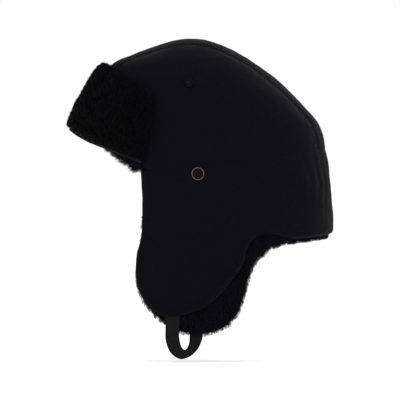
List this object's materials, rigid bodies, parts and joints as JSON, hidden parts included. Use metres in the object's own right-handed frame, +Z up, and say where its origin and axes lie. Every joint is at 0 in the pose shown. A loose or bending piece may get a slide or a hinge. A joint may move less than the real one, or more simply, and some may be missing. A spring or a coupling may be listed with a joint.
{
  "type": "trapper hat",
  "caption": "Padded trapper hat with a turned-up fur front flap, fur-lined ear flaps that fold up, webbing strap loops, vent eyelets and loop buttons.",
  "frame": {"origin": "the middle of the wearer's head, level with the temple corners of the rim, on the hat's middle plane", "axes": "+Z up along the worn head, -X towards the wearer's front, -Y towards the wearer's left"},
  "size_m": [0.2761, 0.207, 0.3345],
  "materials": {
    "shell_cloth": "matt black napped twill",
    "fur": "dense black faux fur",
    "wadding": "soft polyester wadding",
    "quilted_lining": "black quilted satin lining",
    "webbing": "charcoal woven webbing",
    "elastic": "knitted elastic tape",
    "label": "blank woven label",
    "antique_brass": "dark antique brass",
    "button": "satin black"
  },
  "bodies": {
    "crown": {"crown_centre_strip": "shell_cloth", "crown_side_panel_left": "shell_cloth", "crown_side_panel_right": "shell_cloth", "crown_wadding": "wadding", "crown_lining": "quilted_lining", "fur_lining_band": "fur", "blank_size_label": "label", "front_rim_binding": "shell_cloth", "neck_band_shell": "shell_cloth", "neck_band_wadding": "wadding", "neck_elastic": "elastic", "vent_eyelet_left": "antique_brass", "vent_eyelet_washer_left": "antique_brass", "loop_button_cap_left": "button", "loop_button_post_left": "antique_brass", "vent_eyelet_right": "antique_brass", "vent_eyelet_washer_right": "antique_brass", "loop_button_cap_right": "button", "loop_button_post_right": "antique_brass"},
    "front_flap_wing_left": {"front_flap_fur_wing_left": "fur", "front_flap_backing_wing_left": "shell_cloth"},
    "front_flap_side_left": {"front_flap_fur_side_left": "fur", "front_flap_backing_side_left": "shell_cloth"},
    "front_flap_centre": {"front_flap_fur_centre": "fur", "front_flap_backing_centre": "shell_cloth"},
    "front_flap_side_right": {"front_flap_fur_side_right": "fur", "front_flap_backing_side_right": "shell_cloth"},
    "front_flap_wing_right": {"front_flap_fur_wing_right": "fur", "front_flap_backing_wing_right": "shell_cloth"},
    "ear_flap_left": {"ear_flap_shell_left": "shell_cloth", "ear_flap_wadding_left": "wadding", "ear_flap_fur_left": "fur", "strap_tab_outer_left": "webbing", "strap_tab_inner_left": "webbing"},
    "strap_loop_left": {"strap_loop_left": "webbing"},
    "ear_flap_right": {"ear_flap_shell_right": "shell_cloth", "ear_flap_wadding_right": "wadding", "ear_flap_fur_right": "fur", "strap_tab_outer_right": "webbing", "strap_tab_inner_right": "webbing"},
    "strap_loop_right": {"strap_loop_right": "webbing"}
  },
  "joints": [
    {"name": "front_flap_wing_left_fold", "type": "hinge", "parent": "crown", "child": "front_flap_wing_left", "pos_m": [-0.0892, -0.07779, 0.01237], "axis": [0.7394, -0.4372, -0.512], "range_deg": [0, 180]},
    {"name": "front_flap_side_left_fold", "type": "hinge", "parent": "crown", "child": "front_flap_side_left", "pos_m": [-0.11838, -0.05113, 0.03258], "axis": [0.5165, -0.778, -0.3576], "range_deg": [0, 180]},
    {"name": "front_flap_centre_fold", "type": "hinge", "parent": "crown", "child": "front_flap_centre", "pos_m": [-0.12866, 0, 0.0397], "axis": [0, -1, 0], "range_deg": [0, 180]},
    {"name": "front_flap_side_right_fold", "type": "hinge", "parent": "crown", "child": "front_flap_side_right", "pos_m": [-0.11838, 0.05113, 0.03258], "axis": [-0.5165, -0.778, 0.3576], "range_deg": [0, 180]},
    {"name": "front_flap_wing_right_fold", "type": "hinge", "parent": "crown", "child": "front_flap_wing_right", "pos_m": [-0.0892, 0.07779, 0.01237], "axis": [-0.7394, -0.4372, 0.512], "range_deg": [0, 180]},
    {"name": "ear_flap_left_fold", "type": "hinge", "parent": "crown", "child": "ear_flap_left", "pos_m": [0, -0.097, -0.057], "axis": [-1, 0, 0], "range_deg": [-5, 180]},
    {"name": "strap_loop_left_swing", "type": "hinge", "parent": "ear_flap_left", "child": "strap_loop_left", "pos_m": [-0.024, -0.0755, -0.1715], "axis": [-1, 0, 0], "range_deg": [-40, 40]},
    {"name": "ear_flap_right_fold", "type": "hinge", "parent": "crown", "child": "ear_flap_right", "pos_m": [0, 0.097, -0.057], "axis": [1, 0, 0], "range_deg": [-5, 180]},
    {"name": "strap_loop_right_swing", "type": "hinge", "parent": "ear_flap_right", "child": "strap_loop_right", "pos_m": [-0.024, 0.0755, -0.1715], "axis": [1, 0, 0], "range_deg": [-40, 40]}
  ],
  "couplings": [
    {"joint": "front_flap_wing_left_fold", "follows": "front_flap_centre_fold", "ratio": 1},
    {"joint": "front_flap_side_left_fold", "follows": "front_flap_centre_fold", "ratio": 1},
    {"joint": "front_flap_side_right_fold", "follows": "front_flap_centre_fold", "ratio": 1},
    {"joint": "front_flap_wing_right_fold", "follows": "front_flap_centre_fold", "ratio": 1}
  ]
}
